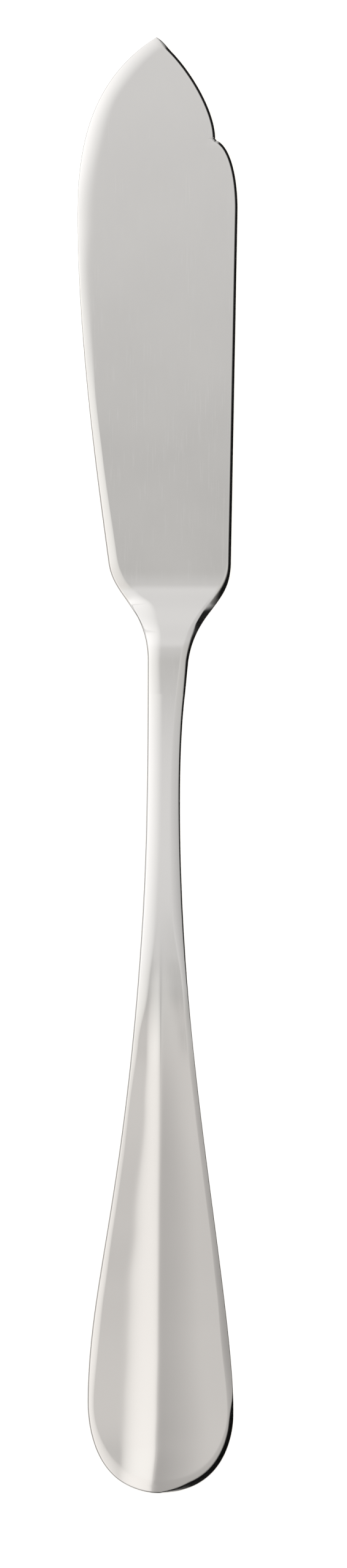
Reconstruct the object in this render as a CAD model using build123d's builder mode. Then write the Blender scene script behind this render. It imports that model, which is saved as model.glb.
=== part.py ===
from build123d import *
from math import cos, pi, radians, tan
import os

# Fish knife, lying on a table the way it rests: +Y runs from the grip to the tip, +X is the
# notched back of the blade, +Z is up. Millimetres. A forged blade with shoulder, neck and tang is
# brazed into the stem of a solid handle, whose grip is coined into two flanks and a middle ridge.

# Overall length, and how far the blade reaches to each side of the handle's centre line
overall_length = 206.0
belly_reach = 12.5
back_reach = 10.4

# Blade outline: "_from_tip" runs down from the tip, and a "fullness" is how far the outline
# keeps its direction before it bends away
tip_side = 1.4
tip_angle = 33.0
tip_belly_fullness = 11.6
tip_back_fullness = 4.7
belly_from_tip = 25.0
belly_upper_fullness = 8.8
belly_lower_fullness = 15.5
belly_taper_angle = 8.0
notch_from_tip = 14.4
notch_reach = 7.2
notch_root_radius = 0.4
upper_lobe_fullness = 4.5
lower_lobe_angle = 22.0
lower_lobe_fullness = 2.4
lobe_shoulder_fullness = 5.0
heel_from_tip = 74.5
heel_belly_reach = 8.0
heel_back_reach = 9.65

# Blade section
blade_thickness = 1.5
bevel_width = 1.5
bevel_depth = 0.9
back_rounding = 0.7
blade_underside_chamfer = 0.2

# Shoulder and neck: the blade narrows and climbs off the table into the stem
neck_from_tip = 88.5
neck_belly_reach = 2.4
neck_back_reach = 3.7
neck_back_angle = 8.0
belly_shoulder_fullness = 5.1
belly_shoulder_hollow = 7.7
back_shoulder_fullness = 6.1
back_shoulder_hollow = 7.1
neck_lift = 2.0
seam_from_tip = 93.0
seam_back_reach = 3.15

# Handle: "_from_end" runs up from the round end of the grip
stock_thickness = 3.2
stem_width = 5.0
waist_from_seam = 16.0
flare_middle_width = 9.95
flare_width = 19.85
flare_from_end = 20.7
grip_width = 20.9
grip_widest_from_end = 13.0
grip_corner_fullness = 3.3
grip_end_fullness = 9.6
crown_lift = 4.3
crown_from_end = 65.0
foot_from_end = 6.0
top_rounding = 1.4
handle_underside_chamfer = 0.4

# Ridge along the grip, left standing between the two coined flanks
ridge_start_from_end = 77.0
ridge_full_from_end = 56.0
ridge_height = 0.6
ridge_flank_angle = 15.0
ridge_crest_width = 1.2
ridge_foot_width = 9.0
ridge_side_offset = 0.45
ridge_stations = 12

# Tang, its socket in the stem, and the braze that fills the space between them
tang_diameter = 1.8
tang_length = 8.0
socket_clearance = 0.1
socket_end_gap = 0.4

# Places that follow from these sizes
tip_y = overall_length / 2
end_y = -overall_length / 2
axis_x = (belly_reach - max(back_reach, grip_width / 2)) / 2
belly_y = tip_y - belly_from_tip
heel_y = tip_y - heel_from_tip
neck_y = tip_y - neck_from_tip
seam_y = tip_y - seam_from_tip
waist_y = seam_y - waist_from_seam
flare_y = end_y + flare_from_end
flare_middle_y = (waist_y + flare_y) / 2
crown_y = end_y + crown_from_end
foot_y = end_y + foot_from_end
past_end_y = end_y - top_rounding
seam_belly_x = axis_x - neck_belly_reach
seam_back_x = axis_x + seam_back_reach
stem_top = neck_lift + stock_thickness
seam_center = ((seam_belly_x + seam_back_x) / 2, seam_y, neck_lift + stock_thickness / 2)
seam_plane = Plane(origin=seam_center, x_dir=(1, 0, 0), z_dir=(0, -1, 0))
socket_diameter = tang_diameter + 2 * socket_clearance
socket_depth = tang_length + socket_end_gap
handle_top = crown_lift + 2 * stock_thickness

# Share of its run that a level-ended Bezier keeps level, to pass within 0.01 mm of a cosine wave
bow_fullness = 0.3642


def eased(start, finish, share):
    """Value on an S-shaped change from start to finish, level at both ends."""
    held = min(max(share, 0.0), 1.0)
    return start + (finish - start) * (1 - cos(pi * held)) / 2


def handle_lift(y):
    """Height of the handle's underside: up from the neck to the crown, then down to the table."""
    if y > crown_y:
        return eased(neck_lift, crown_lift, (seam_y - y) / (seam_y - crown_y))
    return eased(crown_lift, 0.0, (crown_y - y) / (crown_y - foot_y))


def bow(start, finish):
    """The same S-shaped change as a curve of the side profile, from one of its points to the next."""
    reach = (finish[0] - start[0]) * bow_fullness
    return Bezier(start, (start[0] + reach, start[1]), (finish[0] - reach, finish[1]), finish)


def ridge_share(y):
    """How far the ridge has risen: 0 on the stem, 1 along the grip."""
    start_y = end_y + ridge_start_from_end
    full_y = end_y + ridge_full_from_end
    return eased(0.0, 1.0, (start_y - y) / (start_y - full_y))


def heading(angle):
    """Direction in the outline's plane, turned by so many degrees from +X."""
    return Vector(1, 0).rotate(Axis.Z, angle)


def rim(body, facing, side=0):
    """Edges between the trimmed walls and the faces that look up (1) or down (-1).

    The walls are those on the belly side (-1), on the back side (1) or on both sides (0).
    """
    upright = body.faces().filter_by(lambda face: abs(face.normal_at().Z) < 0.05)
    cut_square = upright.filter_by(GeomType.PLANE).filter_by(Axis.Y)
    walls = (upright - cut_square).filter_by(lambda face: face.normal_at().X * side >= 0)
    faced = body.faces().filter_by(lambda face: face.normal_at().Z * facing > 0.5)
    return walls.edges().filter_by(lambda edge: edge in faced.edges())


# Blade: a plate cut to outline, whose shoulder climbs along the side profile
tip = Vector(axis_x - tip_side, tip_y)
belly = Vector(axis_x - belly_reach, belly_y)
notch = Vector(axis_x + notch_reach, tip_y - notch_from_tip)
back = Vector(axis_x + back_reach, belly_y)
heel_belly = Vector(axis_x - heel_belly_reach, heel_y)
heel_back = Vector(axis_x + heel_back_reach, heel_y)
neck_belly = Vector(seam_belly_x, neck_y)
neck_back = Vector(axis_x + neck_back_reach, neck_y)
down = heading(-90)
belly_run = heading(belly_taper_angle - 90)
back_run = (back - heel_back).normalized()
neck_back_run = (Vector(seam_back_x, seam_y) - neck_back).normalized()
mid_y = (heel_y + neck_y) / 2

with BuildPart() as blade:
    with BuildSketch() as blade_outline:
        with BuildLine():
            Bezier(
                tip,
                tip + heading(180 + tip_angle) * tip_belly_fullness,
                belly - down * belly_upper_fullness,
                belly,
            )
            Bezier(
                belly,
                belly + down * belly_lower_fullness,
                heel_belly - belly_run * belly_lower_fullness,
                heel_belly,
            )
            Bezier(
                heel_belly,
                heel_belly + belly_run * belly_shoulder_fullness,
                neck_belly - down * belly_shoulder_hollow,
                neck_belly,
            )
            Line(neck_belly, neck_back)
            Bezier(
                neck_back,
                neck_back + heading(90 - neck_back_angle) * back_shoulder_hollow,
                heel_back - back_run * back_shoulder_fullness,
                heel_back,
            )
            Line(heel_back, back)
            Bezier(
                back,
                back + back_run * lobe_shoulder_fullness,
                notch + heading(-lower_lobe_angle) * lower_lobe_fullness,
                notch,
            )
            Bezier(
                notch,
                notch - down * upper_lobe_fullness,
                tip + heading(-tip_angle) * tip_back_fullness,
                tip,
            )
        make_face()
        fillet(blade_outline.vertices().sort_by_distance(notch)[0], notch_root_radius)
    extrude(amount=stem_top + blade_thickness)
    with BuildSketch(Plane.YZ.offset(-belly_reach)):
        with BuildLine():
            Polyline((heel_y, blade_thickness), (tip_y, blade_thickness), (tip_y, 0), (heel_y, 0))
            Bezier((heel_y, 0), (mid_y, 0), (mid_y, neck_lift), (neck_y, neck_lift))
            Line((neck_y, neck_lift), (neck_y, stem_top))
            Bezier((neck_y, stem_top), (mid_y, stem_top), (mid_y, blade_thickness), (heel_y, blade_thickness))
        make_face()
    extrude(amount=2 * (belly_reach + back_reach), mode=Mode.INTERSECT)
    # The belly is ground to a bevel, the back is rounded, the underside only loses its burr
    plate_top = blade.faces().filter_by(Axis.Z).group_by(SortBy.AREA)[-1].sort_by(Axis.Z)[-1]
    belly_edge = plate_top.edges().sort_by(SortBy.LENGTH)[-1]
    chamfer(belly_edge, length=bevel_width, length2=bevel_depth, reference=plate_top)
    fillet(rim(blade, 1, 1), back_rounding)
    chamfer(rim(blade, -1), blade_underside_chamfer)
    # The neck eases the shoulder into the section of the stem, and the tang stands on its end
    with BuildSketch(seam_plane, mode=Mode.PRIVATE) as seam_section:
        Rectangle(seam_back_x - seam_belly_x, stock_thickness)
        fillet(seam_section.vertices().group_by(Axis.Y)[-1], top_rounding)
        chamfer(seam_section.vertices().group_by(Axis.Y)[0], handle_underside_chamfer)
    loft([blade.faces().sort_by(Axis.Y)[0], seam_section.sketch.face()])
    with BuildSketch(seam_plane):
        Circle(tang_diameter / 2)
    extrude(amount=tang_length)

# Handle: a bar with a ridged top, bowed along its length. Its underside is cut to the side
# profile, and its sides to the outline of stem and grip.
flank_slope = tan(radians(ridge_flank_angle))
half_crest = ridge_crest_width / 2
half_foot = ridge_foot_width / 2
half_bar = grip_width / 2 + top_rounding

with BuildPart() as handle:
    for station in range(ridge_stations + 1):
        y = seam_y + (past_end_y - seam_y) * station / ridge_stations
        share = ridge_share(y)
        lift = handle_lift(y)
        crest_rise = flank_slope * half_crest * share
        flank_z = lift + stock_thickness - crest_rise / 2
        rim_z = lift + stock_thickness - ridge_height * share
        ridge_plane = Plane(origin=(axis_x - ridge_side_offset, y, 0), x_dir=(1, 0, 0), z_dir=(0, -1, 0))
        with BuildSketch(ridge_plane):
            with BuildLine():
                Polyline((half_bar, rim_z), (half_bar, 0), (-half_bar, 0), (-half_bar, rim_z))
                Bezier(
                    (half_bar, rim_z),
                    (half_foot, rim_z),
                    (3 * half_crest, flank_z - 2 * crest_rise),
                    (half_crest, flank_z),
                )
                Bezier((half_crest, flank_z), (0, flank_z + crest_rise), (-half_crest, flank_z))
                Bezier(
                    (-half_crest, flank_z),
                    (-3 * half_crest, flank_z - 2 * crest_rise),
                    (-half_foot, rim_z),
                    (-half_bar, rim_z),
                )
            make_face()
    loft()
    with BuildSketch(Plane.YZ.offset(-grip_width)):
        with BuildLine():
            bow((seam_y, neck_lift), (crown_y, crown_lift))
            bow((crown_y, crown_lift), (foot_y, 0))
            Polyline((foot_y, 0), (past_end_y, 0), (past_end_y, handle_top), (seam_y, handle_top))
            Line((seam_y, handle_top), (seam_y, neck_lift))
        make_face()
    extrude(amount=2 * grip_width, mode=Mode.INTERSECT)
    with BuildSketch(Plane.XY.offset(-stock_thickness)):
        with BuildLine():
            Line((seam_belly_x, seam_y), (seam_back_x, seam_y))
            for side, seam_x, neck_run in ((-1, seam_belly_x, down), (1, seam_back_x, neck_back_run)):
                widest = Vector(axis_x + side * grip_width / 2, end_y + grip_widest_from_end)
                Spline(
                    (seam_x, seam_y),
                    (axis_x + side * stem_width / 2, waist_y),
                    (axis_x + side * flare_middle_width / 2, flare_middle_y),
                    (axis_x + side * flare_width / 2, flare_y),
                    widest,
                    tangents=[neck_run, down],
                )
                Bezier(
                    widest,
                    widest + down * grip_corner_fullness,
                    (axis_x + side * grip_end_fullness, end_y),
                    (axis_x, end_y),
                )
        make_face()
    extrude(amount=handle_top + stock_thickness, mode=Mode.INTERSECT)
    fillet(rim(handle, 1), top_rounding)
    chamfer(rim(handle, -1), handle_underside_chamfer)
    with BuildSketch(seam_plane):
        Circle(socket_diameter / 2)
    extrude(amount=socket_depth, mode=Mode.SUBTRACT)

# Braze: the thin cup of filler metal between the tang and its socket
with BuildPart() as braze_joint:
    with BuildSketch(seam_plane):
        Circle(socket_diameter / 2)
    extrude(amount=socket_depth)
    with BuildSketch(seam_plane):
        Circle(tang_diameter / 2)
    extrude(amount=tang_length, mode=Mode.SUBTRACT)

blade.part.label = "blade"
handle.part.label = "handle"
braze_joint.part.label = "braze_joint"

os.makedirs("parts", exist_ok=True)
export_step(blade.part, "parts/blade.step")
export_step(handle.part, "parts/handle.step")
export_step(braze_joint.part, "parts/braze_joint.step")
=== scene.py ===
import math

import bmesh
import bpy
import numpy as np
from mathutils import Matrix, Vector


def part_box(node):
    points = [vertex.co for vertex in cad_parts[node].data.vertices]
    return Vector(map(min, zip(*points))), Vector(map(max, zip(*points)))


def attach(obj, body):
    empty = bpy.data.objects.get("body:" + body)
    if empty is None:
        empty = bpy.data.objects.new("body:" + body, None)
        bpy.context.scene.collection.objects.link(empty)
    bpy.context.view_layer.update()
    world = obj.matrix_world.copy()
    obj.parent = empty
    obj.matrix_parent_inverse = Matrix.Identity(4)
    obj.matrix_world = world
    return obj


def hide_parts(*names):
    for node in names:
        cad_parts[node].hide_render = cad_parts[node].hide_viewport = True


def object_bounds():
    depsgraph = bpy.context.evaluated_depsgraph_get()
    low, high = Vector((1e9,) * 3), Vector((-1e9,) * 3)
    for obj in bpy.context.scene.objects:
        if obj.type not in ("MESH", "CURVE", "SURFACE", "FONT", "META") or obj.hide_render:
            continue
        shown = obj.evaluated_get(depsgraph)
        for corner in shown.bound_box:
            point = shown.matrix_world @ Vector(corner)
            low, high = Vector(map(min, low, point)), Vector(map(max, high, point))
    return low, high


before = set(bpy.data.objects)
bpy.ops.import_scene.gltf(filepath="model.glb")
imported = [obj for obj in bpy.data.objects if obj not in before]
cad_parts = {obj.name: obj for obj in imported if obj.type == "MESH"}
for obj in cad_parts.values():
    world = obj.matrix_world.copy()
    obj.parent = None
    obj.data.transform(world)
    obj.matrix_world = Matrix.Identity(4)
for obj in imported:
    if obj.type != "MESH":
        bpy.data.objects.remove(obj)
cad_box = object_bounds()

# ---- Blade -----------------------------------------------------------------------------------
# Stainless steel, forged flat and cut to outline, with the notch and the lobes on its back. The
# belly is ground away towards its edge, softly at the tip and as a crisp bevel near the heel. The
# shoulder is pressed up into a neck, and the tang on the neck's end is brazed into the handle.

mm = 0.001
tip_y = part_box("blade")[1].y
seam_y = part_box("handle")[1].y
tang_end_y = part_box("blade")[0].y
centre_line = 1.025 * mm
heel_y = 28.5 * mm
neck_y = 14.5 * mm

plate_thickness = 1.5 * mm
stock_thickness = 3.2 * mm
least_thickness = 0.05 * mm
neck_lift = 2.0 * mm
crown_lift = 4.29 * mm
tang_radius = 0.9 * mm
underside_rounding = 0.3 * mm

# The shoulder's climb, with a gentle rise at its foot and a gentle last rise at its head.
climb_start_y = 25.5 * mm
climb_end_y = 16.4 * mm
climb_hold = 2.35
foot_rise = 0.1 * mm
head_rise = 0.13 * mm

# Steepness of the broken edges: crisp along the back, worn along the belly, rolled at the rim.
crisp_edge = 0.82
worn_edge = 0.94
rolled_edge = 1.7
break_fullness = 1.08
roll_fullness = 1.4
worn_roll = 0.35


def bent(start, pull_out, pull_in, finish):
    """Points along one bend, which leaves its start and meets its finish along the pulls."""
    share = np.linspace(0, 1, 200)[:, None]
    corners = [np.array(corner, float) for corner in (start, pull_out, pull_in, finish)]
    weights = ((1 - share) ** 3, 3 * (1 - share) ** 2 * share, 3 * (1 - share) * share**2, share**3)
    return sum(weight * corner for weight, corner in zip(weights, corners))


def cut_edge(*runs):
    """An edge of the knife from its tip end to its grip end, in metres.

    Its runs are given in mm, sideways from the knife's centre line and lengthwise from the middle.
    """
    edge = np.concatenate([np.array(run, float) for run in runs]) * mm
    return edge + (centre_line, 0)


belly_edge = cut_edge(
    bent((-1.4, 103), (-11.13, 96.68), (-12.5, 86.8), (-12.5, 78)),
    bent((-12.5, 78), (-12.5, 62.5), (-10.16, 43.85), (-8.0, 28.5)),
    bent((-8.0, 28.5), (-7.29, 23.45), (-2.4, 22.2), (-2.4, 14.5)),
    [(-2.4, 14.5), (-2.4, 10)],
)
back_edge = cut_edge(
    bent((-1.4, 103), (2.54, 100.44), (7.2, 93.1), (7.2, 88.6)),
    bent((7.2, 88.6), (9.43, 87.7), (10.48, 83.0), (10.4, 78)),
    [(10.4, 78), (9.65, 28.5)],
    bent((9.65, 28.5), (9.56, 22.7), (4.54, 21.83), (3.52, 14.5)),
    [(3.52, 14.5), (3.1, 10)],
)

# Ground slope along each edge. Each row is a place in mm from the knife's middle, then the slope's
# width in mm, its steepness at the edge and its fullness.
belly_grind = (
    (103, 1.7, 0.2, 2.0),
    (96, 2.2, 0.2, 2.1),
    (88, 2.8, 0.2, 2.3),
    (78, 3.1, 0.17, 3.3),
    (69, 2.7, 0.17, 4.0),
    (60, 1.6, 0.17, 2.2),
    (52, 1.15, 0.155, 1.4),
    (43, 1.2, 0.165, 1.3),
    (30, 1.4, 0.165, 1.35),
    (26, 1.6, 0.13, 1.4),
    (24.5, 2.0, 0.13, 1.5),
    (22.5, 2.8, 0.22, 1.4),
    (20, 2.4, 0.22, 1.5),
    (14.5, 2.0, 0.2, 2.0),
    (10, 2.1, 0.21, 2.0),
)
back_grind = (
    (103, 0.9, 0.05, 1.6),
    (30, 0.9, 0.05, 1.6),
    (22, 1.3, 0.3, 1.3),
    (14.5, 1.3, 0.2, 1.25),
    (10, 1.4, 0.2, 1.25),
)


def sideways(edge, y):
    """How far out the edge is at each place along the knife."""
    return np.interp(-y, -edge[:, 1], edge[:, 0])


def slant(edge, y):
    """How much longer a way into the steel is straight sideways than square to the edge."""
    step = 0.02 * mm
    return math.hypot(1, (sideways(edge, y + step) - sideways(edge, y - step)) / (2 * step))


def inward(x, y, edge):
    """Shortest way from each point of the plan to the edge."""
    point = np.stack([x, np.full_like(x, y)], -1)[..., None, :]
    start, run = edge[:-1], np.diff(edge, axis=0)
    kept = (run**2).sum(-1) > 0
    start, run = start[kept], run[kept]
    share = (((point - start) * run).sum(-1) / (run**2).sum(-1)).clip(0, 1)
    return np.sqrt(((point - start - share[..., None] * run) ** 2).sum(-1).min(-1))


def eased(y, places, sizes):
    """A size that passes through the given sizes at the given places, easing in and out of each."""
    places, sizes = np.array(places, float)[::-1] * mm, np.array(sizes, float)[::-1]
    at = np.clip(np.searchsorted(places, y) - 1, 0, len(places) - 2)
    share = ((y - places[at]) / (places[at + 1] - places[at])).clip(0, 1)
    return sizes[at] + (sizes[at + 1] - sizes[at]) * (1 - np.cos(np.pi * share)) / 2


def slope_at(y, grind):
    """Width, steepness and fullness of a ground slope at one place along the knife."""
    places, widths, steepnesses, fullnesses = zip(*grind)
    width = eased(y, places, widths) * mm
    return width, eased(y, places, steepnesses), eased(y, places, fullnesses)


def ground_away(depth, width, steepness, fullness):
    """How far a ground slope has dropped at each depth in from the edge.

    It is as steep as given at the edge itself, and has run out at its width. The fuller it is, the
    sooner it flattens.
    """
    return steepness * width / fullness * (1 - depth / width).clip(0) ** fullness


def broken_edge(depth, width, roll, from_steepness, to_steepness):
    """Further drop of an edge that is broken by a steep narrow slope and rolled over outside it."""
    broken = ground_away(depth, width, to_steepness - from_steepness, break_fullness)
    return broken + ground_away(depth, roll, rolled_edge - to_steepness, roll_fullness)


def rounded(depth, radius):
    """How far a rounded edge has turned away at each depth in from it."""
    return radius - np.sqrt(radius**2 - (radius - depth).clip(0) ** 2)


# The surface is drawn in columns of points along the knife, crowded towards each edge.
rim_share = np.linspace(0, 1, 22) ** 1.7
rim_margin = 0.06 * mm
widest_rim = 0.45
face_share = np.linspace(0, 1, 14)[1:-1]


def rim_depths(width):
    """Depths in from an edge of the columns over its ground slope, and of one just inside it."""
    return np.append(rim_share * width, width + rim_margin)


def across(y, left_edge, right_edge, left_depths, right_depths, middle):
    """Sideways places of the columns at one station of the knife.

    The depths are counted in from each edge, square to it, and the middle is in shares of the rest.
    """
    left, right = sideways(left_edge, y), sideways(right_edge, y)
    room = widest_rim * (right - left)
    left_in = left_depths * slant(left_edge, y)
    right_in = right_depths * slant(right_edge, y)
    left_in *= min(1, room / left_in[-1])
    right_in *= min(1, room / right_in[-1])
    inner_left, inner_right = left + left_in[-1], right - right_in[-1]
    between = inner_left + (inner_right - inner_left) * np.array(middle)
    return np.concatenate([left + left_in, between, (right - right_in)[::-1]])


def section_ring(x, y, top, bottom):
    """The ring of points round one station: over the top, and back along the underside."""
    along = np.full_like(x, y)
    upper = np.stack([x, along, top], -1)
    lower = np.stack([x, along, bottom], -1)
    return np.concatenate([upper, lower[::-1]])


def pin_ring(section, y, radius):
    """A round ring about the middle of a section, its points in line with the section's own."""
    middle = (section.max(0) + section.min(0)) / 2
    angle = np.arctan2(section[:, 2] - middle[2], section[:, 0] - middle[0])
    out = middle[0] + radius * np.cos(angle)
    up = middle[2] + radius * np.sin(angle)
    return np.stack([out, np.full_like(out, y), up], -1)


def steel_body(name, rings, sharp_rings):
    """A closed body from rings of points along it, each ring with as many points as the next."""
    around = rings.shape[1]
    body = bmesh.new()
    points = [[body.verts.new(point) for point in ring] for ring in rings]
    for first, second in zip(points, points[1:]):
        for place in range(around):
            after = (place + 1) % around
            body.faces.new((first[place], first[after], second[after], second[place]))
    for ring in (points[0], points[-1]):
        body.faces.new(ring)
    for ring in sharp_rings:
        for place in range(around):
            after = (place + 1) % around
            body.edges.get((points[ring][place], points[ring][after])).smooth = False
    bmesh.ops.remove_doubles(body, verts=body.verts, dist=0.0005 * mm)
    bmesh.ops.dissolve_degenerate(body, edges=body.edges, dist=0.0002 * mm)
    bmesh.ops.recalc_face_normals(body, faces=body.faces)
    mesh = bpy.data.meshes.new(name)
    body.to_mesh(mesh)
    body.free()
    mesh.shade_smooth()
    piece = bpy.data.objects.new(name, mesh)
    bpy.context.scene.collection.objects.link(piece)
    return piece


def bow_lift(y):
    """Height of the underside above the table, from the neck over the crown to the grip's end."""
    return eased(y, (16, -38, -97), (neck_lift, crown_lift, 0.0))


# Stations along the blade, crowded where its outline or its height turns quickly.
tip_run = 2 * mm
tip_step = 0.2 * mm
notch_start_y = 92 * mm
notch_step = 0.1 * mm
notch_end_y = 85 * mm
plate_step = 0.5 * mm
shoulder_start_y = heel_y + 2 * mm
shoulder_step = 0.15 * mm
neck_start_y = neck_y - 1 * mm
blade_stations = np.concatenate([
    tip_y - tip_run * np.linspace(0.02, 1, 24) ** 2,
    np.arange(tip_y - tip_run - tip_step, notch_start_y, -tip_step),
    np.arange(notch_start_y, notch_end_y, -notch_step),
    np.arange(notch_end_y, shoulder_start_y, -plate_step),
    np.arange(shoulder_start_y, neck_start_y, -shoulder_step),
    np.linspace(neck_start_y, seam_y, 8),
])

blade_rings = []
for y in blade_stations:
    belly_width, belly_steepness, belly_fullness = slope_at(y, belly_grind)
    back_width, back_steepness, back_fullness = slope_at(y, back_grind)
    belly_break = eased(y, (103, 75, 55, 30, 10), (0.1, 0.1, 0.2, 0.3, 0.3)) * mm
    back_break = eased(y, (103, 101, 28, 22, 16, 10), (0.15, 0.64, 0.68, 0.95, 0.5, 0.42)) * mm
    back_roll = eased(y, (103, 101, 28, 24, 16, 10), (0.05, 0.27, 0.27, 0.14, 0.12, 0.12)) * mm
    x = across(y, belly_edge, back_edge, rim_depths(belly_width), rim_depths(back_width), face_share)

    up = ((climb_start_y - y) / (climb_start_y - climb_end_y)).clip(0, 1)
    raised = up**climb_hold / (up**climb_hold + (1 - up) ** climb_hold)
    foot = plate_thickness + foot_rise * eased(y, (27.4, 20.8), (0, 1))
    head = bow_lift(y) + stock_thickness - head_rise * eased(y, (21.2, 14.6), (1, 0))
    face = foot + (head - foot) * raised
    underside = bow_lift(y) * raised

    from_belly = inward(x, y, belly_edge)
    from_back = inward(x, y, back_edge)
    top = face - ground_away(from_belly, belly_width, belly_steepness, belly_fullness)
    top -= broken_edge(from_belly, belly_break, worn_roll * belly_break, belly_steepness, worn_edge)
    top -= ground_away(from_back, back_width, back_steepness, back_fullness)
    top -= broken_edge(from_back, back_break, back_roll, back_steepness, crisp_edge)
    bottom = underside + rounded(np.minimum(from_belly, from_back), underside_rounding)
    bottom = np.minimum(bottom, top - least_thickness)
    blade_rings.append(section_ring(x, y, top, bottom))

neck_section = blade_rings[-1]
blade_rings.append(pin_ring(neck_section, seam_y, tang_radius))
blade_rings.append(pin_ring(neck_section, tang_end_y, tang_radius))
blade = steel_body("blade_steel", np.array(blade_rings), sharp_rings=(-3, -2, -1))


def new_group(name, inputs, outputs):
    """An empty shader node group with number inputs and the named outputs."""
    group = bpy.data.node_groups.new(name, "ShaderNodeTree")
    for label, value in inputs.items():
        socket = group.interface.new_socket(label, in_out="INPUT", socket_type="NodeSocketFloat")
        socket.default_value = value
    for label in outputs:
        group.interface.new_socket(label, in_out="OUTPUT", socket_type="NodeSocketFloat")
    return group, group.nodes.new("NodeGroupInput"), group.nodes.new("NodeGroupOutput")


# Polished steel is never quite even: the wheel leaves faint clouds, and use leaves hair-thin
# scratches, mostly along the knife.
polish, polish_in, polish_out = new_group(
    "polish_and_wear", {"Cloud size": 0.02, "Scratch depth": 1.0}, ("Clouds", "Scratches")
)
place = polish.nodes.new("ShaderNodeTexCoord")
cloud_scale = polish.nodes.new("ShaderNodeMath")
cloud_scale.operation = "DIVIDE"
cloud_scale.inputs[0].default_value = 1.0
polish.links.new(polish_in.outputs["Cloud size"], cloud_scale.inputs[1])
clouds = polish.nodes.new("ShaderNodeTexNoise")
clouds.inputs["Detail"].default_value = 3.0
polish.links.new(place.outputs["Object"], clouds.inputs["Vector"])
polish.links.new(cloud_scale.outputs[0], clouds.inputs["Scale"])
polish.links.new(clouds.outputs["Fac"], polish_out.inputs["Clouds"])
drawn_out = polish.nodes.new("ShaderNodeMapping")
drawn_out.inputs["Rotation"].default_value = (0, 0, math.radians(7))
drawn_out.inputs["Scale"].default_value = (9000, 220, 9000)
polish.links.new(place.outputs["Object"], drawn_out.inputs["Vector"])
hairlines = polish.nodes.new("ShaderNodeTexNoise")
hairlines.inputs["Scale"].default_value = 1.0
hairlines.inputs["Detail"].default_value = 2.0
polish.links.new(drawn_out.outputs["Vector"], hairlines.inputs["Vector"])
few_hairlines = polish.nodes.new("ShaderNodeMapRange")
few_hairlines.inputs["From Min"].default_value = 0.62
few_hairlines.inputs["From Max"].default_value = 0.78
polish.links.new(hairlines.outputs["Fac"], few_hairlines.inputs["Value"])
scratch_depth = polish.nodes.new("ShaderNodeMath")
scratch_depth.operation = "MULTIPLY"
polish.links.new(few_hairlines.outputs["Result"], scratch_depth.inputs[0])
polish.links.new(polish_in.outputs["Scratch depth"], scratch_depth.inputs[1])
polish.links.new(scratch_depth.outputs[0], polish_out.inputs["Scratches"])


def metal(name, colour, worn_colour, roughness, worn_roughness, cloud_size, scratch_depth):
    """A metal whose colour and gloss follow the polishing clouds, with hairline scratches."""
    material = bpy.data.materials.new(name)
    material.use_nodes = True
    nodes, links = material.node_tree.nodes, material.node_tree.links
    surface = nodes["Principled BSDF"]
    surface.inputs["Metallic"].default_value = 1.0
    finish = nodes.new("ShaderNodeGroup")
    finish.node_tree = polish
    finish.inputs["Cloud size"].default_value = cloud_size
    finish.inputs["Scratch depth"].default_value = scratch_depth
    # Sockets 6 and 7 of a Mix node are its two colours, and output 2 is the mixed colour.
    tone = nodes.new("ShaderNodeMix")
    tone.data_type = "RGBA"
    tone.inputs[6].default_value = (*colour, 1)
    tone.inputs[7].default_value = (*worn_colour, 1)
    links.new(finish.outputs["Clouds"], tone.inputs["Factor"])
    links.new(tone.outputs[2], surface.inputs["Base Color"])
    gloss = nodes.new("ShaderNodeMapRange")
    gloss.inputs["From Min"].default_value = 0.3
    gloss.inputs["From Max"].default_value = 0.7
    gloss.inputs["To Min"].default_value = roughness
    gloss.inputs["To Max"].default_value = worn_roughness
    links.new(finish.outputs["Clouds"], gloss.inputs["Value"])
    links.new(gloss.outputs["Result"], surface.inputs["Roughness"])
    relief = nodes.new("ShaderNodeBump")
    relief.inputs["Strength"].default_value = 0.05
    relief.inputs["Distance"].default_value = 0.02 * mm
    relief.invert = True
    links.new(finish.outputs["Scratches"], relief.inputs["Height"])
    links.new(relief.outputs["Normal"], surface.inputs["Normal"])
    return material


polished_steel = metal(
    "polished_steel",
    colour=(0.53, 0.518, 0.494),
    worn_colour=(0.56, 0.548, 0.523),
    roughness=0.10,
    worn_roughness=0.14,
    cloud_size=0.02,
    scratch_depth=1.0,
)
blade.data.materials.append(polished_steel)
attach(blade, "root")
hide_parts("blade")

# ---- Handle ----------------------------------------------------------------------------------
# A solid bar of the same steel, drawn thin for the stem and spread for the grip. Coining presses
# two hollow flanks into the grip and leaves the ridge standing between them. It is bowed, so that
# the grip's end comes back to the table, and its stem has a blind socket for the tang.

end_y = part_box("handle")[0].y
socket_radius = 1.0 * mm
socket_end_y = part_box("braze_joint")[0].y
ridge_crest = 0.28 * mm

# The left edge has one narrow worn break, which turns into the back's own past the ridge.
left_break = 0.3 * mm
turn_start = 2.0 * mm
turn_run = 4.0 * mm

left_rim = cut_edge(
    bent((-2.4, 10), (-2.4, -3), (-2.45, -14), (-3.3, -26)),
    bent((-3.3, -26), (-5.7, -62.4), (-10.5, -73.9), (-10.5, -90)),
    bent((-10.5, -90), (-10.5, -94.4), (-9.0, -103), (0, -103)),
)
right_rim = cut_edge(
    bent((3.1, 10), (2.2, 2.3), (2.2, -11), (3.2, -26)),
    bent((3.2, -26), (4.6, -49.6), (10.3, -78.9), (10.3, -92)),
    bent((10.3, -92), (10.3, -93.4), (9.8, -103), (0, -103)),
)
whole_rim = np.concatenate([left_rim, right_rim[::-1]])

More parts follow.
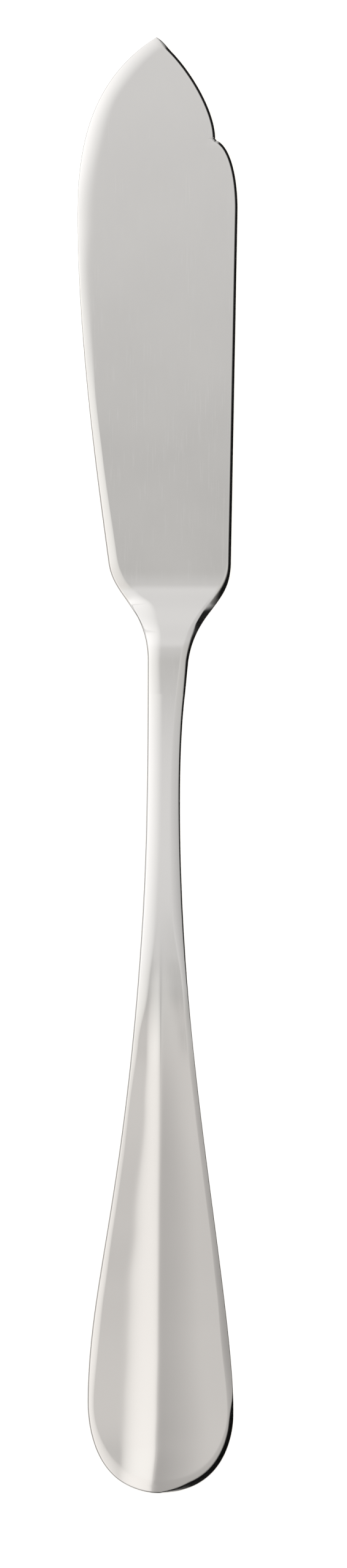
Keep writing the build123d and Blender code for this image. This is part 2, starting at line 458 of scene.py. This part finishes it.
left_grind = (
    (10, 2.3, 0.21, 2.0),
    (-20, 2.2, 0.19, 1.9),
    (-32, 1.7, 0.17, 1.6),
    (-39, 0.95, 0.15, 1.35),
    (-48, 0.7, 0.15, 1.3),
    (-56, 0.85, 0.15, 1.3),
    (-65, 0.9, 0.18, 1.3),
    (-74, 1.1, 0.19, 1.3),
    (-82, 1.25, 0.19, 1.3),
    (-91, 1.0, 0.19, 1.4),
    (-103, 2.0, 0.18, 1.5),
)
right_grind = (
    (10, 1.4, 0.2, 1.25),
    (-20, 1.7, 0.34, 1.7),
    (-32, 0.85, 0.34, 1.6),
    (-39, 0.9, 0.24, 1.35),
    (-48, 0.85, 0.24, 1.3),
    (-56, 0.85, 0.22, 1.3),
    (-65, 0.85, 0.26, 1.3),
    (-74, 1.0, 0.29, 1.3),
    (-82, 1.2, 0.29, 1.3),
    (-91, 1.0, 0.24, 1.4),
    (-103, 2.0, 0.18, 1.5),
)


def hollowed(distance, reach, hold):
    """Depth of a coined hollow beside the ridge, per unit of its slope there.

    The slope holds the longer the higher hold is, and has run out at the hollow's reach.
    """
    share = (distance / reach).clip(0, 1)
    return reach * (share - share ** (hold + 1) / (hold + 1))


# Stations along the handle, crowded at the seam and towards the round end.
seam_run = 0.4 * mm
stem_step = 0.45 * mm
end_start_y = -90 * mm
end_step = 0.2 * mm
end_run = 3 * mm
handle_stations = np.concatenate([
    np.linspace(seam_y, seam_y - seam_run, 3)[:-1],
    np.arange(seam_y - seam_run, end_start_y, -stem_step),
    np.arange(end_start_y, end_y + end_run, -end_step),
    end_y + end_run * np.linspace(1, 0.01, 48) ** 2,
])

# Columns of points over the ridge, crowded towards its crest.
ridge_line = np.linspace(-1, 1, 21)
ridge_share = np.sign(ridge_line) * np.abs(ridge_line) ** 1.5
ridge_half = 1.5 * mm
widest_ridge = 0.25
crest_room = 0.3

handle_rings = []
for y in handle_stations:
    left_width, left_steepness, left_fullness = slope_at(y, left_grind)
    right_width, right_steepness, right_fullness = slope_at(y, right_grind)
    back_break = eased(y, (10, -22, -36, -88, -93, -103), (0.42, 0.32, 0.14, 0.14, 0.75, 1.0)) * mm
    back_roll = eased(y, (10, -22, -36, -88, -93, -103), (0.12, 0.12, 0.08, 0.08, 0.12, 0.16)) * mm
    ridge_x = centre_line + mm * eased(
        y, (10, -48, -65, -82, -91, -96, -103), (-0.35, -0.28, -0.36, -0.4, -0.55, -0.68, -1.2)
    )
    left_slope = eased(y, (-20, -27, -31, -41, -91, -103), (0, 0.03, 0.055, 0.155, 0.175, 0.165))
    left_reach = mm * eased(
        y, (-30, -40, -48, -65, -74, -82, -91, -103), (1.6, 1.8, 2.2, 3.6, 4.5, 4.75, 4.95, 4.6)
    )
    left_hold = eased(y, (-27, -45), (1, 4))
    right_slope = eased(
        y, (-20, -27, -31, -38, -48, -80, -103), (0, 0.03, 0.055, 0.12, 0.145, 0.145, 0.24)
    )
    right_reach = mm * eased(
        y, (-30, -40, -48, -65, -74, -80, -103), (2.0, 3.2, 4.0, 4.9, 5.2, 5.6, 8.2)
    )
    right_hold = 1

    rims = across(y, left_rim, right_rim, rim_depths(left_width), rim_depths(right_width), [])
    left_columns, right_columns = np.split(rims, 2)
    inner_left, inner_right = left_columns[-1], right_columns[0]
    inner = inner_right - inner_left
    crest = np.clip(ridge_x, inner_left + crest_room * inner, inner_right - crest_room * inner)
    ridge_left = crest - min(ridge_half, widest_ridge * inner)
    ridge_right = crest + min(ridge_half, widest_ridge * inner)
    x = np.concatenate([
        left_columns,
        inner_left + (ridge_left - inner_left) * face_share,
        crest + (ridge_right - crest) * ridge_share,
        ridge_right + (inner_right - ridge_right) * face_share,
        right_columns,
    ])

    from_ridge = np.sqrt((x - ridge_x) ** 2 + ridge_crest**2) - ridge_crest
    left_hollow = left_slope * hollowed(from_ridge, left_reach, left_hold)
    right_hollow = right_slope * hollowed(from_ridge, right_reach, right_hold)
    top = bow_lift(y) + stock_thickness - np.where(x < ridge_x, left_hollow, right_hollow)

    from_rim = inward(x, y, whole_rim)
    on_left = x < centre_line
    rim_width = np.where(on_left, left_width, right_width)
    rim_steepness = np.where(on_left, left_steepness, right_steepness)
    rim_fullness = np.where(on_left, left_fullness, right_fullness)
    top -= ground_away(from_rim, rim_width, rim_steepness, rim_fullness)
    on_back = (0.5 + (x - centre_line - turn_start) / turn_run).clip(0, 1)
    rim_break = left_break + (back_break - left_break) * on_back
    rim_roll = worn_roll * left_break + (back_roll - worn_roll * left_break) * on_back
    edge_steepness = worn_edge + (crisp_edge - worn_edge) * on_back
    top -= broken_edge(from_rim, rim_break, rim_roll, rim_steepness, edge_steepness)
    bottom = bow_lift(y) + rounded(from_rim, underside_rounding)
    handle_rings.append(section_ring(x, y, top, bottom))

stem_section = handle_rings[0]
handle_rings.insert(0, pin_ring(stem_section, seam_y, socket_radius))
handle_rings.insert(0, pin_ring(stem_section, socket_end_y, socket_radius))
handle = steel_body("handle_steel", np.array(handle_rings), sharp_rings=(0, 1, 2))
handle.data.materials.append(polished_steel)
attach(handle, "root")
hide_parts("handle")

# ---- Braze joint -----------------------------------------------------------------------------
# A film of pale silver brazing alloy, melted in between the tang and its socket. It stays hidden
# inside the stem.

braze_alloy = metal(
    "braze_alloy",
    colour=(0.66, 0.58, 0.42),
    worn_colour=(0.52, 0.45, 0.33),
    roughness=0.35,
    worn_roughness=0.6,
    cloud_size=0.002,
    scratch_depth=0.3,
)
braze_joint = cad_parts["braze_joint"]
braze_joint.data.materials.clear()
braze_joint.data.materials.append(braze_alloy)

# ---- Table -----------------------------------------------------------------------------------
# A plain white light table of opal acrylic, level with the knife's flat underside. It glows a
# little from below, so that the knife's shadow stays faint.

half_table = 1.5
table_gap = 0.02 * mm
table_z = cad_box[0][2] - table_gap
corners = [(-1, -1), (1, -1), (1, 1), (-1, 1)]
floor_mesh = bpy.data.meshes.new("table_top")
floor_mesh.from_pydata(
    [(half_table * right, half_table * away, table_z) for right, away in corners], [], [(0, 1, 2, 3)]
)
floor = bpy.data.objects.new("table_top", floor_mesh)
bpy.context.scene.collection.objects.link(floor)
opal_acrylic = bpy.data.materials.new("opal_acrylic")
opal_acrylic.use_nodes = True
opal_surface = opal_acrylic.node_tree.nodes["Principled BSDF"]
opal_surface.inputs["Base Color"].default_value = (0.95, 0.95, 0.95, 1)
opal_surface.inputs["Roughness"].default_value = 0.9
opal_surface.inputs["Specular IOR Level"].default_value = 0.1
opal_surface.inputs["Emission Color"].default_value = (1, 1, 1, 1)
opal_surface.inputs["Emission Strength"].default_value = 0.45
floor.data.materials.append(opal_acrylic)

# ---- Studio light ----------------------------------------------------------------------------
# A white tent, brightest on the knife's belly side, with the camera's grey hole overhead. Its
# skirt and its hem are in shade all round except at the tip, and a low black wall stands along
# the knife's back side.

world = bpy.data.worlds.new("light_tent")
bpy.context.scene.world = world
world.use_nodes = True
tent, tent_links = world.node_tree.nodes, world.node_tree.links
outlook = tent.new("ShaderNodeTexCoord")


def reach_towards(side):
    """How far a direction of the tent points towards one side, from -1 to 1."""
    aim = tent.new("ShaderNodeVectorMath")
    aim.operation = "DOT_PRODUCT"
    aim.inputs[1].default_value = np.array(side, float) / np.linalg.norm(side)
    tent_links.new(outlook.outputs["Generated"], aim.inputs[0])
    return aim.outputs["Value"]


def tent_part(reach, stops):
    """Brightness of the tent's cloth by that reach: its stops are pairs of reach and brightness."""
    from_dark = tent.new("ShaderNodeMapRange")
    from_dark.inputs["From Min"].default_value = -1.0
    tent_links.new(reach, from_dark.inputs["Value"])
    ramp = tent.new("ShaderNodeValToRGB")
    while len(ramp.color_ramp.elements) < len(stops):
        ramp.color_ramp.elements.new(0.5)
    for element, (cosine, brightness) in zip(ramp.color_ramp.elements, stops):
        element.position = (cosine + 1) / 2
        element.color = (brightness, brightness, brightness, 1)
    tent_links.new(from_dark.outputs["Result"], ramp.inputs["Fac"])
    return ramp.outputs["Color"]


def held_back(first, second):
    """One part of the tent's brightness held back by another."""
    product = tent.new("ShaderNodeMath")
    product.operation = "MULTIPLY"
    tent_links.new(first, product.inputs[0])
    tent_links.new(second, product.inputs[1])
    return product.outputs[0]


def brighter(first, second):
    """The brighter of two parts of the tent."""
    larger = tent.new("ShaderNodeMath")
    larger.operation = "MAXIMUM"
    tent_links.new(first, larger.inputs[0])
    tent_links.new(second, larger.inputs[1])
    return larger.outputs[0]


flattened = tent.new("ShaderNodeVectorMath")
flattened.operation = "MULTIPLY"
flattened.inputs[1].default_value = (1, 1, 0)
tent_links.new(outlook.outputs["Generated"], flattened.inputs[0])
off_centre = tent.new("ShaderNodeVectorMath")
off_centre.operation = "LENGTH"
tent_links.new(flattened.outputs["Vector"], off_centre.inputs[0])
overhead = reach_towards((0, 0, 1))

darker_belly_side = ((-1, 0.45), (-0.8, 0.6), (-0.55, 0.68), (-0.35, 0.85), (-0.1, 1.0))
lit_belly_side = ((0.05, 1.05), (0.3, 1.55), (0.45, 1.8), (1, 1.85))
belly_side = tent_part(reach_towards((-1, 0.15, 0)), darker_belly_side + lit_belly_side)
tip_side = tent_part(
    reach_towards((0, 1, 0)),
    ((-1, 1.0), (-0.1, 1.0), (0.15, 1.14), (0.6, 1.03), (0.9, 0.97)),
)
camera_hole = tent_part(
    off_centre.outputs["Value"],
    ((0.0, 0.73), (0.03, 0.70), (0.045, 0.79), (0.06, 0.86), (0.08, 0.97), (0.11, 1.02)),
)
skirt = brighter(
    tent_part(overhead, ((0.3, 0.62), (0.62, 0.62), (0.78, 1.0))),
    tent_part(reach_towards((0.5, 1, 0)), ((0.3, 0.0), (0.5, 1.0))),
)
hem = brighter(
    tent_part(overhead, ((0.06, 0.3), (0.26, 1.0))),
    tent_part(reach_towards((0, 1, 0)), ((0.5, 0.0), (0.8, 1.0))),
)
back_wall = brighter(
    tent_part(overhead, ((0.36, 0.02), (0.52, 1.0))),
    tent_part(reach_towards((1, -0.18, 0)), ((0.28, 1.0), (0.42, 0.0))),
)
grip_corner = tent_part(reach_towards((0.5, -0.7, 0.5)), ((0.64, 1.0), (0.74, 0.86)))
brightness = held_back(belly_side, tip_side)
for cloth in (camera_hole, hem, skirt, back_wall, grip_corner):
    brightness = held_back(brightness, cloth)
tent_light = tent["Background"]
tent_links.new(brightness, tent_light.inputs["Strength"])

# The cloth is a little warmer over the grip's side and a little cooler over the tip's.
along_tent = tent.new("ShaderNodeMapRange")
along_tent.inputs["From Min"].default_value = -0.06
along_tent.inputs["From Max"].default_value = 0.08
tent_links.new(reach_towards((0, 1, 0)), along_tent.inputs["Value"])
cloth_tint = tent.new("ShaderNodeValToRGB")
cloth_tint.color_ramp.elements[0].color = (1.02, 1.0, 1.0, 1)
cloth_tint.color_ramp.elements[1].color = (1.0, 1.0, 1.025, 1)
plain_cloth = cloth_tint.color_ramp.elements.new(0.43)
plain_cloth.color = (1.0, 1.0, 1.0, 1)
tent_links.new(along_tent.outputs["Result"], cloth_tint.inputs["Fac"])
tent_links.new(cloth_tint.outputs["Color"], tent_light.inputs["Color"])

# Past the table's edges the camera sees a plain pale backdrop in place of the tent.
plain_backdrop = tent.new("ShaderNodeBackground")
plain_backdrop.inputs["Color"].default_value = (0.93, 0.93, 0.93, 1)
seen = tent.new("ShaderNodeLightPath")
chosen = tent.new("ShaderNodeMixShader")
tent_links.new(seen.outputs["Is Camera Ray"], chosen.inputs[0])
tent_links.new(tent_light.outputs[0], chosen.inputs[1])
tent_links.new(plain_backdrop.outputs[0], chosen.inputs[2])
tent_links.new(chosen.outputs[0], tent["World Output"].inputs["Surface"])
bpy.context.scene.view_settings.view_transform = "Standard"

# A broad soft box, almost straight overhead, whitens the table. The steel doesn't mirror it.
soft_box_lamp = bpy.data.lights.new("soft_box", "AREA")
soft_box_lamp.size = 1.6
soft_box_lamp.energy = 24
soft_box = bpy.data.objects.new("soft_box", soft_box_lamp)
soft_box.location = (-0.1, 0.1, 1.9)
soft_box.rotation_euler = soft_box.location.to_track_quat("Z", "Y").to_euler()
soft_box.visible_glossy = False
bpy.context.scene.collection.objects.link(soft_box)

# ---- Camera ----------------------------------------------------------------------------------
# A long lens straight above the knife, as in the photograph, and turned by a hair from the
# knife's own line.

lens = 200.0
film_length = 36.0
seen_length = 221.7 * mm
camera_x = centre_line + 1.40 * mm
camera_y = -2.7 * mm
camera_turn = 0.0037
camera_data = bpy.data.cameras.new("camera")
camera_data.lens = lens
camera_data.clip_start = 0.05
camera = bpy.data.objects.new("camera", camera_data)
camera.location = (camera_x, camera_y, plate_thickness + seen_length * lens / film_length)
camera.rotation_euler = (0, 0, camera_turn)
bpy.context.scene.collection.objects.link(camera)
bpy.context.scene.camera = camera
